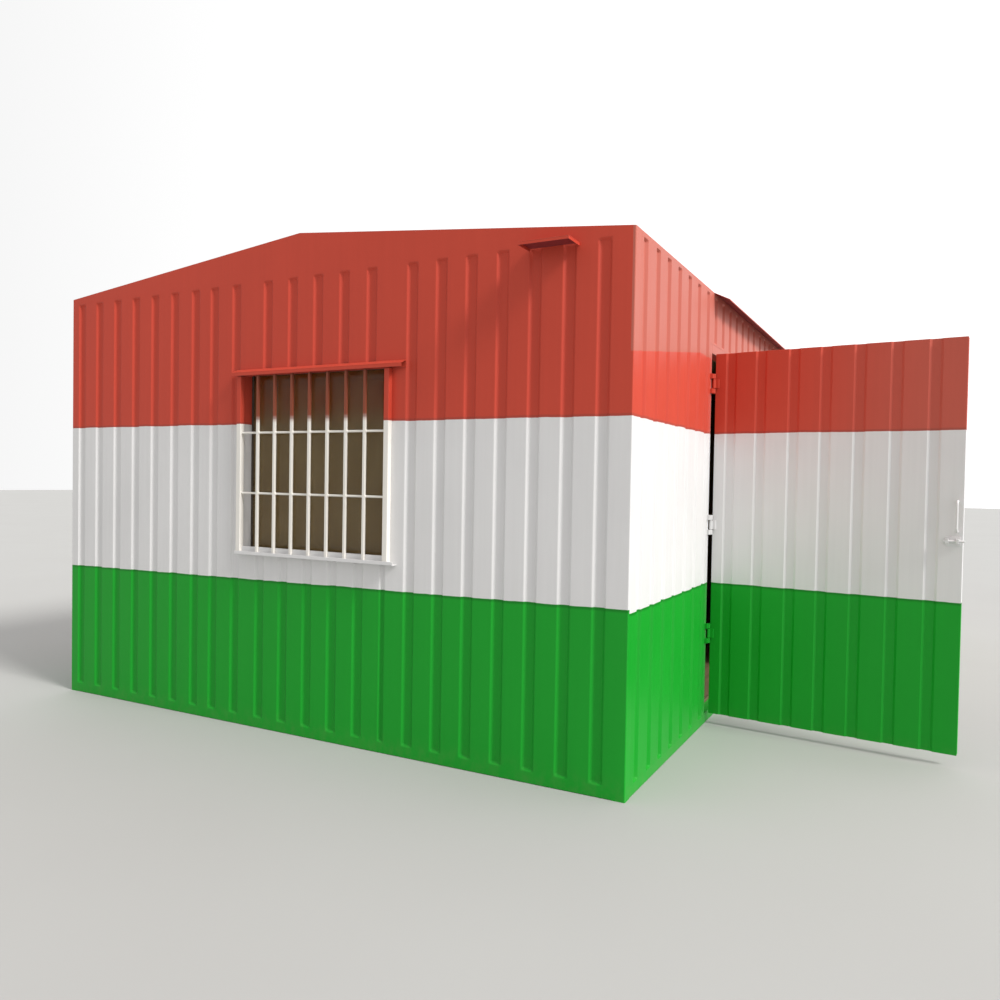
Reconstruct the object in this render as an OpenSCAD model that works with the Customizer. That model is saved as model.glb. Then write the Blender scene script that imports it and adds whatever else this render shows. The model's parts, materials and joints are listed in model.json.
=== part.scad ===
// Office container: a site cabin with pressed sheet walls, a low gable roof, a barred window
// in the front gable wall and one outward-opening door in the right-hand wall.
// Millimetres. The origin is on the ground under the middle of the plan. X runs along the
// front wall to the right, Y from the front wall to the back wall, and Z up.

/* [Cabin] */
// Width of the front wall over the corner posts
cabin_width = 3660; // [3000:10:4200]
// Length of the cabin from the front wall to the back wall
cabin_length = 6100; // [4900:50:9100]
// Height of the roof surface over the outside of the long walls
eaves_height = 2446; // [2300:1:2700]
// Rise of the roof from the eaves to the ridge
roof_rise = 191; // [120:1:400]
// Thickness of the insulated walls without their inner lining
wall_thick = 60; // [45:1:90]
// Thickness of the roof panels
roof_thick = 45; // [35:1:80]
// Thickness of the inner lining boards
lining_thick = 10; // [6:1:18]
// Width of the square corner posts
post_width = 60; // [50:1:90]
// Height of the base rails
rail_height = 50; // [40:1:100]
// Thickness of the floor board
floor_thick = 25; // [15:1:40]

/* [Pressed grooves] */
// Width of a groove at the surface of the sheet
groove_width = 62; // [40:1:80]
// Width of the flat bottom of a groove
groove_floor = 40; // [20:1:60]
// Depth of a groove
groove_depth = 12; // [8:1:20]
// Depth of the shallower grooves of the door leaf
leaf_groove_depth = 8; // [4:1:15]
// Distance between grooves on the front and back walls
groove_pitch = 164; // [120:1:220]
// Distance between grooves on the long walls and the roof
side_pitch = 182; // [120:1:220]

/* [Window] */
// Width of the clear window opening
window_width = 945; // [600:5:1400]
// Height of the clear window opening
window_height = 980; // [600:5:1200]
// Distance from the left-hand end of the front wall to the window opening
window_from_left = 1455; // [600:5:2200]
// Height of the bottom of the window opening
window_bottom = 945; // [800:5:1200]
// Width of the square bars of the window grille
bar_width = 14; // [8:1:20]
// Distance between the upright bars
bar_pitch = 118; // [80:1:160]

/* [Door] */
// Width of the door leaf
door_width = 1245; // [800:5:1400]
// Height of the door leaf
door_height = 2036; // [1900:1:2100]
// Thickness of the door leaf
door_thick = 45; // [40:1:58]
// Distance from the front wall to the hinge axis
hinge_from_front = 1352; // [400:1:3000]
// Angle at which the door stands open
door_open = 95.86; // [0:0.01:165]
// Clearance round the door leaf
door_gap = 5; // [5:1:10]

/* [Node selection] */
// Node to draw

/* [Hidden] */

half_w = cabin_width / 2;
half_l = cabin_length / 2;
roof_slope = roof_rise / half_w;
roof_angle = atan(roof_slope);
floor_top = rail_height + floor_thick;
ceiling_bottom = 2300;
ceiling_thick = 10;
wall_top = eaves_height - 16;
front_groove_bottom = 57;
front_groove_top = 2410;
side_groove_bottom = 52;
side_groove_top = 2425;

window_left = window_from_left - half_w;
window_right = window_left + window_width;
window_top = window_bottom + window_height;
frame_tube = 30;
sill_plate = 4;
bar_bottom = window_bottom;
bar_top = 1906;

// Heights and places of the door, its frame and its hinges
leaf_bottom = rail_height + 12;
leaf_top = leaf_bottom + door_height;
hinge_out = 14;
hinge_x = half_w + hinge_out;
hinge_y = hinge_from_front - half_l;
leaf_near = hinge_y + 4;
leaf_far = leaf_near + door_width;
jamb_near = leaf_near - door_gap;
jamb_far = leaf_far + door_gap;
jamb_width = 50;
head_bottom = leaf_top + door_gap;
head_top = head_bottom + jamb_width;
stop_width = 20;
stop_depth = 10;
hinge_heights = [520, 1135, 1930];
sheet_thick = 20;
backing_thick = door_thick - sheet_thick;

// Middles of the pressed grooves, along each run of wall from its own corner
left_grooves = [90, 253, 417, 580, 743, 908, 1075, 1222, 1388];
under_grooves = [1570, 1736, 1902, 2067, 2232, 2397];
over_grooves = [1616, 1788, 1958, 2127, 2298];
right_grooves = [2540, 2704, 2867, 3031, 3195, 3360, 3524];
near_door_grooves = [137, 319, 493, 673, 859, 1050, 1245];
leaf_grooves = [89, 255, 431, 595, 762, 935, 1108];

function roof_z(x) = eaves_height + (half_w - abs(x)) * roof_slope;

// Cross-section of one groove, open to the outside of a wall whose face is at y = 0
module groove_shape(depth = groove_depth) {
    side = (groove_width - groove_floor) / 2;
    lip = side / depth;
    polygon([[-groove_width / 2 - lip, -1], [groove_width / 2 + lip, -1],
        [groove_floor / 2, depth], [-groove_floor / 2, depth]]);
}

module grooves(places, bottom, top, depth = groove_depth) {
    for (place = places)
        translate([place, 0, bottom])
            linear_extrude(top - bottom) groove_shape(depth);
}

// A run of pressed sheet wall from u0 to u1 with its outer face at y = 0
module wall_run(u0, u1, bottom, top, places, groove_bottom, groove_top) {
    difference() {
        translate([u0, 0, bottom]) cube([u1 - u0, wall_thick, top - bottom]);
        grooves(places, groove_bottom, groove_top);
    }
}

// Places a run on one of the four sides, measured from the left-hand end seen from outside
module on_front() { translate([-half_w, -half_l, 0]) children(); }
module on_right() { translate([half_w, -half_l, 0]) rotate([0, 0, 90]) children(); }
module on_back() { translate([half_w, half_l, 0]) rotate([0, 0, 180]) children(); }
module on_left() { translate([-half_w, half_l, 0]) rotate([0, 0, -90]) children(); }

// Takes away everything over the roof line
module under_roof() {
    intersection() {
        children();
        translate([0, half_l + 1, 0]) rotate([90, 0, 0]) linear_extrude(cabin_length + 2)
            polygon([[-half_w, 0], [half_w, 0], [half_w, eaves_height],
                [0, eaves_height + roof_rise], [-half_w, eaves_height]]);
    }
}

module base_end_rails() {
    color([0.2, 0.6, 0.2]) for (side = [-1, 1])
        translate([-half_w + post_width, side > 0 ? half_l - wall_thick : -half_l, 0])
            cube([cabin_width - 2 * post_width, wall_thick, rail_height]);
}

module base_side_rails() {
    color([0.2, 0.6, 0.25]) for (side = [-1, 1])
        translate([side > 0 ? half_w - wall_thick : -half_w, -half_l + post_width, 0])
            cube([wall_thick, cabin_length - 2 * post_width, rail_height]);
}

module floor_joists() {
    joist_width = 50;
    joist_step = 700;
    color([0.35, 0.35, 0.37]) for (i = [-4 : 4])
        translate([-half_w + wall_thick, i * joist_step - joist_width / 2, 0])
            cube([cabin_width - 2 * wall_thick, joist_width, rail_height]);
}

module floor_board() {
    color([0.5, 0.4, 0.3])
        translate([-half_w + wall_thick, -half_l + wall_thick, rail_height])
            cube([cabin_width - 2 * wall_thick, cabin_length - 2 * wall_thick, floor_thick]);
}

module corner_post(x, y) {
    under_roof() translate([x, y, 0]) cube([post_width, post_width, eaves_height + 50]);
}

module front_left_post() { color([0.85, 0.3, 0.25]) corner_post(-half_w, -half_l); }
module front_right_post() { color([0.8, 0.3, 0.3]) corner_post(half_w - post_width, -half_l); }
module back_left_post() { color([0.85, 0.35, 0.25]) corner_post(-half_w, half_l - post_width); }
module back_right_post() {
    color([0.8, 0.35, 0.3]) corner_post(half_w - post_width, half_l - post_width);
}

module front_wall_left() {
    color([0.8, 0.25, 0.2]) on_front()
        wall_run(post_width, window_from_left, rail_height, wall_top, left_grooves,
            front_groove_bottom, front_groove_top);
}

module front_wall_right() {
    color([0.75, 0.25, 0.2]) on_front()
        wall_run(window_from_left + window_width, cabin_width - post_width, rail_height,
            wall_top, right_grooves, front_groove_bottom, front_groove_top);
}

module front_wall_under_window() {
    color([0.2, 0.65, 0.25]) on_front()
        wall_run(window_from_left, window_from_left + window_width, rail_height,
            window_bottom, under_grooves, front_groove_bottom, window_bottom + 1);
}

module front_wall_over_window() {
    color([0.85, 0.2, 0.2]) on_front()
        wall_run(window_from_left, window_from_left + window_width, window_top, wall_top,
            over_grooves, window_top - 1, front_groove_top);
}

// Flat plate over the pressed sheet, up to the roof line
module gable_plate(y) {
    under_roof() translate([-half_w + post_width, y, wall_top])
        cube([cabin_width - 2 * post_width, wall_thick, roof_rise + 60]);
}

module front_gable() { color([0.7, 0.25, 0.2]) gable_plate(-half_l); }
module back_gable() { color([0.7, 0.3, 0.2]) gable_plate(half_l - wall_thick); }

module right_wall_near_door() {
    color([0.9, 0.45, 0.35]) under_roof() on_right()
        wall_run(post_width, jamb_near - jamb_width + half_l, rail_height, eaves_height + 50,
            near_door_grooves, side_groove_bottom, side_groove_top);
}

module right_wall_over_door() {
    u0 = jamb_near - jamb_width + half_l;
    u1 = jamb_far + jamb_width + half_l;
    color([0.95, 0.5, 0.4]) under_roof() on_right()
        wall_run(u0, u1, head_top, eaves_height + 50,
            [for (i = [0 : 6]) u0 + 125 + i * side_pitch], head_top + 10, side_groove_top);
}

module right_wall_past_door() {
    u0 = jamb_far + jamb_width + half_l;
    u1 = cabin_length - post_width;
    color([0.9, 0.4, 0.35]) under_roof() on_right()
        wall_run(u0, u1, rail_height, eaves_height + 50,
            [for (u = [u0 + 80 : side_pitch : u1 - 50]) u], side_groove_bottom,
            side_groove_top);
}

module left_wall() {
    u1 = cabin_length - post_width;
    color([0.85, 0.4, 0.3]) under_roof() on_left()
        wall_run(post_width, u1, rail_height, eaves_height + 50,
            [for (u = [137 : side_pitch : u1 - 50]) u], side_groove_bottom, side_groove_top);
}

module back_wall() {
    color([0.8, 0.3, 0.2]) on_back()
        wall_run(post_width, cabin_width - post_width, rail_height, wall_top,
            [for (i = [0 : 20]) 190 + i * groove_pitch], front_groove_bottom,
            front_groove_top);
}

module lining_board(u0, u1, bottom, top) {
    translate([u0, wall_thick, bottom]) cube([u1 - u0, lining_thick, top - bottom]);
}

module front_lining() {
    u0 = window_from_left;
    u1 = window_from_left + window_width;
    color([0.55, 0.4, 0.25]) on_front() {
        lining_board(wall_thick, u0, floor_top, ceiling_bottom);
        lining_board(u1, cabin_width - wall_thick, floor_top, ceiling_bottom);
        lining_board(u0, u1, floor_top, window_bottom);
        lining_board(u0, u1, window_top, ceiling_bottom);
    }
}

module back_lining() {
    color([0.5, 0.4, 0.25]) on_back()
        lining_board(wall_thick, cabin_width - wall_thick, floor_top, ceiling_bottom);
}

module left_lining() {
    inner = wall_thick + lining_thick;
    color([0.5, 0.35, 0.25]) on_left()
        lining_board(inner, cabin_length - inner, floor_top, ceiling_bottom);
}

module right_lining() {
    inner = wall_thick + lining_thick;
    u0 = jamb_near + half_l;
    u1 = jamb_far + half_l;
    color([0.55, 0.35, 0.25]) on_right() {
        lining_board(inner, u0, floor_top, ceiling_bottom);
        lining_board(u1, cabin_length - inner, floor_top, ceiling_bottom);
        lining_board(u0, u1, head_bottom, ceiling_bottom);
    }
}

module ceiling() {
    color([0.75, 0.7, 0.6])
        translate([-half_w + wall_thick, -half_l + wall_thick, ceiling_bottom])
            cube([cabin_width - 2 * wall_thick, cabin_length - 2 * wall_thick, ceiling_thick]);
}

// The right-hand roof panel, with grooves that run down its slope
module roof_panel() {
    inner = half_w - wall_thick;
    run = cabin_length - 2 * wall_thick;
    difference() {
        translate([0, run / 2, 0]) rotate([90, 0, 0]) linear_extrude(run)
            polygon([[0, eaves_height + roof_rise - roof_thick],
                [inner, roof_z(inner) - roof_thick], [inner, roof_z(inner)],
                [0, eaves_height + roof_rise]]);
        for (y = [-16 * side_pitch : side_pitch : 16 * side_pitch])
            translate([0, y, eaves_height + roof_rise]) rotate([0, 90 + roof_angle, 0])
                translate([0, 0, 90]) rotate([0, 0, -90])
                    linear_extrude(inner - 160) groove_shape();
    }
}

module roof_right() { color([0.6, 0.2, 0.18]) roof_panel(); }
module roof_left() { color([0.65, 0.2, 0.18]) mirror([1, 0, 0]) roof_panel(); }

module ridge_cap() {
    cap_width = 85;
    cap_thick = 4;
    set_back = 20;
    top = eaves_height + roof_rise;
    drop = cap_width * roof_slope;
    color([0.5, 0.2, 0.2]) translate([0, half_l - set_back, 0]) rotate([90, 0, 0])
        linear_extrude(cabin_length - 2 * set_back)
            polygon([[-cap_width, top - drop], [0, top], [cap_width, top - drop],
                [cap_width, top - drop + cap_thick], [0, top + cap_thick],
                [-cap_width, top - drop + cap_thick]]);
}

module window_posts() {
    color([0.9, 0.9, 0.85]) for (x = [window_left - frame_tube, window_right])
        translate([x, -half_l - frame_tube, bar_bottom])
            cube([frame_tube, frame_tube, bar_top - bar_bottom]);
}

module window_bottom_rail() {
    rail_depth = 14;
    color([0.85, 0.9, 0.85]) translate([window_left, -half_l - rail_depth, bar_bottom])
        cube([window_width, rail_depth, 40]);
}

module window_grille() {
    middle = (window_left + window_right) / 2;
    color([0.95, 0.95, 0.9]) {
        for (i = [-3 : 3])
            translate([middle + i * bar_pitch - bar_width / 2, -half_l - 29, bar_bottom])
                cube([bar_width, bar_width, bar_top - bar_bottom]);
        for (z = [1275, 1600])
            translate([window_left, -half_l - 22, z - 6]) cube([window_width, 12, 12]);
    }
}

module window_glass() {
    color([0.4, 0.35, 0.3, 0.6]) translate([window_left, -half_l + wall_thick, window_bottom])
        cube([window_width, 6, window_height]);
}

module window_hood() {
    color([0.8, 0.2, 0.15]) translate([window_left - 55, -half_l, 0])
        rotate([90, 0, 90]) linear_extrude(1110)
            polygon([[0, 1906], [0, 1944], [-41, 1928], [-45, 1925], [-45, 1906],
                [-41, 1906], [-41, 1922], [-4, 1936], [-4, 1910], [-30, 1910],
                [-30, 1906]]);
}

module window_sill() {
    color([0.95, 0.95, 0.95]) translate([window_left - 30, -half_l, 0])
        rotate([90, 0, 90]) linear_extrude(1045)
            polygon([[0, 941], [0, 945], [-36, 945], [-36, 960], [-40, 960], [-40, 941]]);
}

module vent_hood() {
    depth = 120;
    wide = 240;
    color([0.75, 0.2, 0.2]) translate([3165 - half_w, -half_l - depth, 2388])
        difference() {
            cube([wide, depth, 15]);
            translate([3, 3, -1]) cube([wide - 6, depth, 13]);
        }
}

// Sheet that slopes out and down from the eaves over the door
module door_canopy() {
    run = 2440;
    reach = 88;
    outer = 2397;
    thick = 6;
    color([0.75, 0.25, 0.25]) translate([half_w, hinge_y + 18 + run, 0]) rotate([90, 0, 0])
        linear_extrude(run)
            polygon([[0, eaves_height - thick], [reach, outer], [reach, outer + thick],
                [0, eaves_height]]);
}

module door_jambs() {
    color([0.5, 0.5, 0.5]) {
        for (y = [jamb_near - jamb_width, jamb_far])
            translate([half_w - wall_thick, y, rail_height])
                cube([wall_thick, jamb_width, head_top - rail_height]);
        for (y = [jamb_near, jamb_far - stop_width])
            translate([half_w - wall_thick, y, rail_height + 7])
                cube([stop_depth, stop_width, head_bottom - rail_height - 7]);
    }
}

module door_head() {
    color([0.55, 0.5, 0.5])
        translate([half_w - wall_thick, jamb_near, head_bottom])
            cube([wall_thick, jamb_far - jamb_near, jamb_width]);
}

module door_threshold() {
    color([0.6, 0.6, 0.6]) translate([half_w - wall_thick, jamb_near, rail_height])
        cube([wall_thick, jamb_far - jamb_near, 7]);
}

// Hinge pin with the two fixed knuckles welded to the near jamb
module door_hinge_brackets() {
    knuckle = 27;
    reach = 55;
    color([0.7, 0.7, 0.7]) for (z = hinge_heights) {
        translate([hinge_x, hinge_y, z - reach]) cylinder(h = 2 * reach, r = 4.5, $fn = 48);
        for (low = [z - reach, z + reach - knuckle]) {
            translate([hinge_x, hinge_y, low]) cylinder(h = knuckle, r = 9, $fn = 48);
            translate([half_w, hinge_y - 32, low]) cube([hinge_out, 28, knuckle]);
        }
    }
}

// Draws a door piece, modelled in the closed place, at the angle it stands open
module on_leaf() {
    translate([hinge_x, hinge_y, 0]) rotate([0, 0, -door_open])
        translate([-hinge_x, -hinge_y, 0]) children();
}

module door_sheet() {
    color([0.85, 0.35, 0.3]) on_leaf()
        translate([half_w, leaf_near, 0]) rotate([0, 0, 90]) difference() {
            translate([0, 0, leaf_bottom]) cube([door_width, sheet_thick, door_height]);
            grooves(leaf_grooves, leaf_bottom - 1, leaf_top + 1, leaf_groove_depth);
        }
}

module door_stiles() {
    stile = 40;
    color([0.6, 0.6, 0.65]) on_leaf()
        for (y = [leaf_near, leaf_far - stile])
            translate([half_w - door_thick, y, leaf_bottom])
                cube([backing_thick, stile, door_height]);
}

module door_rails() {
    stile = 40;
    color([0.65, 0.6, 0.65]) on_leaf()
        for (z = [leaf_bottom, (leaf_bottom + leaf_top - stile) / 2, leaf_top - stile])
            translate([half_w - door_thick, leaf_near + stile, z])
                cube([backing_thick, door_width - 2 * stile, stile]);
}

module door_handle() {
    reach = 38;
    rod = 6;
    y = leaf_near + 1220;
    color([0.9, 0.9, 0.9]) on_leaf() {
        for (z = [1154, 1302])
            translate([half_w, y, z]) rotate([0, 90, 0]) cylinder(h = reach, r = rod, $fn = 32);
        translate([half_w + reach, y, 1148]) cylinder(h = 160, r = rod, $fn = 32);
    }
}

module door_bolt() {
    y = leaf_near + 1170;
    color([0.85, 0.85, 0.85]) on_leaf() {
        translate([half_w, y, 1085]) cube([4, 66, 44]);
        for (s = [0, 46])
            translate([half_w, y + s, 1095]) cube([20, 14, 24]);
        translate([half_w + 12, y - 10, 1107]) rotate([-90, 0, 0])
            cylinder(h = 95, r = 6, $fn = 32);
    }
}

// Moving knuckle of each hinge, with its strap welded to the leaf
module door_hinge_straps() {
    knuckle = 50;
    strap = 26;
    color([0.75, 0.7, 0.7]) on_leaf() for (z = hinge_heights) difference() {
        union() {
            translate([hinge_x, hinge_y, z - knuckle / 2])
                cylinder(h = knuckle, r = 9, $fn = 48);
            translate([hinge_x - 9, hinge_y, z - knuckle / 2]) cube([6, strap, knuckle]);
            translate([half_w, leaf_near + 2, z - knuckle / 2])
                cube([6, strap - 6, knuckle]);
        }
        translate([hinge_x, hinge_y, z - knuckle]) cylinder(h = 2 * knuckle, r = 5, $fn = 48);
    }
}

base_end_rails();
base_side_rails();
floor_joists();
floor_board();
front_left_post();
front_right_post();
back_left_post();
back_right_post();
front_wall_left();
front_wall_right();
front_wall_under_window();
front_wall_over_window();
front_gable();
right_wall_near_door();
right_wall_over_door();
right_wall_past_door();
left_wall();
back_wall();
back_gable();
front_lining();
right_lining();
back_lining();
left_lining();
ceiling();
roof_left();
roof_right();
ridge_cap();
window_posts();
window_bottom_rail();
window_grille();
window_glass();
window_hood();
window_sill();
vent_hood();
door_canopy();
door_jambs();
door_head();
door_threshold();
door_hinge_brackets();
door_sheet();
door_stiles();
door_rails();
door_handle();
door_bolt();
door_hinge_straps();
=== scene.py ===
"""Office container: pressed sheet walls in three bands of paint, a barred window and a side door."""
import json
import math
import bmesh
import bpy
from bpy.props import FloatProperty, FloatVectorProperty, PointerProperty
from mathutils import Euler, Matrix, Vector


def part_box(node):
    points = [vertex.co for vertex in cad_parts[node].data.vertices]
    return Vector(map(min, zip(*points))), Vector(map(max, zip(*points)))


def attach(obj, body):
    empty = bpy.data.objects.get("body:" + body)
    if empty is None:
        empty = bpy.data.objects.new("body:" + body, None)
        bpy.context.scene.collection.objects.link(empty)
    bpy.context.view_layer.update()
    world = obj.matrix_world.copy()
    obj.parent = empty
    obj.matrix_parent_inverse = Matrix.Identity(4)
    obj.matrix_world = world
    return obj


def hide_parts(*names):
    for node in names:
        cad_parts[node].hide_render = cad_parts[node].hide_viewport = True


bl_info = {
    "name": "Office container",
    "version": (1, 0, 0),
    "blender": (4, 5, 0),
    "location": "3D View > Sidebar > Cabin",
    "description": "Builds a site cabin with pressed sheet walls, a barred window and a side door",
    "category": "Object",
}

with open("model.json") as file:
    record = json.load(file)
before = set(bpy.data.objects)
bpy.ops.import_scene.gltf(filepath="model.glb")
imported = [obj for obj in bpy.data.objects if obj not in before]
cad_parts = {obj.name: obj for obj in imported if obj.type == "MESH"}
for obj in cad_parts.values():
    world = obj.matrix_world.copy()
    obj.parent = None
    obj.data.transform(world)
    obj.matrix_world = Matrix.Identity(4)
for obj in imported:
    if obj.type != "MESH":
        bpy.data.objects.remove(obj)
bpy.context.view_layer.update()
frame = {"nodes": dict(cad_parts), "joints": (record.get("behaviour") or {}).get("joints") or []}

# Sizes of the shell, from the frame
HALF_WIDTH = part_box("front_right_post")[1].x
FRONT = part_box("front_right_post")[0].y
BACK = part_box("back_right_post")[1].y
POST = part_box("front_right_post")[1].y - FRONT
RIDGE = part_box("front_gable")[1].z
ROOF_SLOPE = (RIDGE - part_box("front_right_post")[1].z) / (HALF_WIDTH - POST)
EAVES = RIDGE - HALF_WIDTH * ROOF_SLOPE
WALL = POST
SWING = frame["joints"][0]
HINGE = Vector(SWING["pos_m"])
DOOR_OPEN = math.radians(SWING["range_deg"][1])

# Middles of the pressed grooves, in metres from the left-hand corner seen from outside
LEFT_GROOVES = (0.090, 0.253, 0.417, 0.580, 0.743, 0.908, 1.075, 1.222, 1.388)
UNDER_GROOVES = (1.570, 1.736, 1.902, 2.067, 2.232, 2.397)
OVER_GROOVES = (1.616, 1.788, 1.958, 2.127, 2.298)
RIGHT_GROOVES = (2.540, 2.704, 2.867, 3.031, 3.195, 3.360, 3.524)
NEAR_DOOR_GROOVES = (0.137, 0.319, 0.493, 0.673, 0.859, 1.050, 1.245)
LEAF_GROOVES = (0.089, 0.255, 0.431, 0.595, 0.762, 0.935, 1.108)
FRONT_PITCH = 0.164
SIDE_PITCH = 0.182
FRONT_ENDS = (0.057, 2.410)
SIDE_ENDS = (0.052, 2.425)


def to_linear(value):
    """Turns an sRGB hex value into linear red, green and blue."""
    parts = [int(value[i:i + 2], 16) / 255 for i in (0, 2, 4)]
    return tuple(c / 12.92 if c <= 0.04045 else ((c + 0.055) / 1.055) ** 2.4 for c in parts)


def paint_colour(name, value, words):
    return FloatVectorProperty(name=name, description=words, subtype="COLOR", size=3,
                               min=0.0, max=1.0, default=to_linear(value))


def length(name, value, words):
    return FloatProperty(name=name, description=words, default=value, min=0.0,
                         subtype="DISTANCE", unit="LENGTH")


class CabinSizes(bpy.types.PropertyGroup):
    """Sizes of the finer shapes."""
    groove_width: length("Groove width", 0.062, "Width of a pressed groove at the surface")
    groove_floor: length("Groove floor", 0.040, "Width of the flat bottom of a groove")
    groove_depth: length("Groove depth", 0.012, "Depth of a pressed groove")
    groove_end: length("Groove end", 0.010, "Length of the slope that closes a groove")
    leaf_depth: length("Leaf groove depth", 0.008, "Depth of a groove in the door leaf")
    press_radius: length("Press radius", 0.004, "Roundness of the pressed edges")
    corner_radius: length("Corner radius", 0.005, "Roundness of the folded corners")
    tube_edge: length("Tube edge", 0.003, "Roundness of the frame's edges")
    sheet_gauge: length("Sheet gauge", 0.0025, "Thickness of folded sheet")
    red_from: length("Red band", 1.648, "Height at which the red band starts")
    white_from: length("White band", 0.808, "Height at which the white band starts")
    # Height at which the painted sunlit sheen high on the door side starts
    painted_sheen_from: length("Painted sheen", 1.92, "Height at which the painted sheen of the door side starts")


class CabinColours(bpy.types.PropertyGroup):
    """Colours of the paints and boards."""
    red: paint_colour("Red", "C84A38", "Top band of the walls, roof and hoods")
    # A lighter, pinker red: a painted sheen on the door side and a painted haze on the leaf
    painted_light_red: paint_colour("Painted light red", "BF6758", "Painted sheen high on the door side, painted haze on the leaf")
    white: paint_colour("White", "E1E0E0", "Middle band of the walls")
    green: paint_colour("Green", "169D29", "Bottom band of the walls")
    bar: paint_colour("Bars", "EFEBE4", "Lower part of the window bars")
    bar_top: paint_colour("Bar tops", "8F4C38", "Upper part of the window bars")
    board: paint_colour("Lining", "7A5A38", "Lining boards inside")
    glass: paint_colour("Glass", "806A44", "Tint of the window pane")


# ---------------------------------------------------------------- materials

def add_node(tree, kind, settings=None, links=None):
    """Adds a node, sets its properties or inputs, and joins outputs to its inputs."""
    made = tree.nodes.new(kind)
    for key, value in (settings or {}).items():
        if isinstance(key, str) and hasattr(made, key):
            setattr(made, key, value)
        else:
            made.inputs[key].default_value = value
    for key, source in (links or {}).items():
        tree.links.new(source, made.inputs[key])
    return made


def start_material(name):
    """Returns a new material, its tree, its shader and its object coordinates."""
    made = bpy.data.materials.new(name)
    made.use_nodes = True
    tree = made.node_tree
    tree.nodes.clear()
    shader = add_node(tree, "ShaderNodeBsdfPrincipled")
    add_node(tree, "ShaderNodeOutputMaterial", links={"Surface": shader.outputs["BSDF"]})
    return made, tree, shader, add_node(tree, "ShaderNodeTexCoord").outputs["Object"]


def mixed(tree, factor, low, high, blend="MIX"):
    """Mixes two colours, each a colour value or an output, by a number or an output."""
    made = add_node(tree, "ShaderNodeMix", {"data_type": "RGBA", "blend_type": blend})
    for socket, value in ((0, factor), (6, low), (7, high)):
        if isinstance(value, bpy.types.NodeSocket):
            tree.links.new(value, made.inputs[socket])
        else:
            made.inputs[socket].default_value = value
    return made.outputs[2]


def grain(tree, where, stretch, scale, detail=3.0, rough=0.55):
    """Noise on a stretched place; scale is in bumps per metre before the stretch."""
    place = add_node(tree, "ShaderNodeMapping", {"Scale": stretch}, {"Vector": where})
    return add_node(tree, "ShaderNodeTexNoise",
                    {"Scale": scale, "Detail": detail, "Roughness": rough},
                    {"Vector": place.outputs[0]}).outputs["Fac"]


def ranged(tree, value, low, high, to_low=0.0, to_high=1.0, smooth=False):
    return add_node(tree, "ShaderNodeMapRange",
                    {"interpolation_type": "SMOOTHSTEP" if smooth else "LINEAR",
                     1: low, 2: high, 3: to_low, 4: to_high}, {0: value}).outputs[0]


def math_node(tree, operation, *values):
    made = add_node(tree, "ShaderNodeMath", {"operation": operation})
    for i, value in enumerate(values):
        if isinstance(value, bpy.types.NodeSocket):
            tree.links.new(value, made.inputs[i])
        else:
            made.inputs[i].default_value = value
    return made.outputs[0]


def rgba(colour, factor=1.0):
    return (colour[0] * factor, colour[1] * factor, colour[2] * factor, 1.0)


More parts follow.
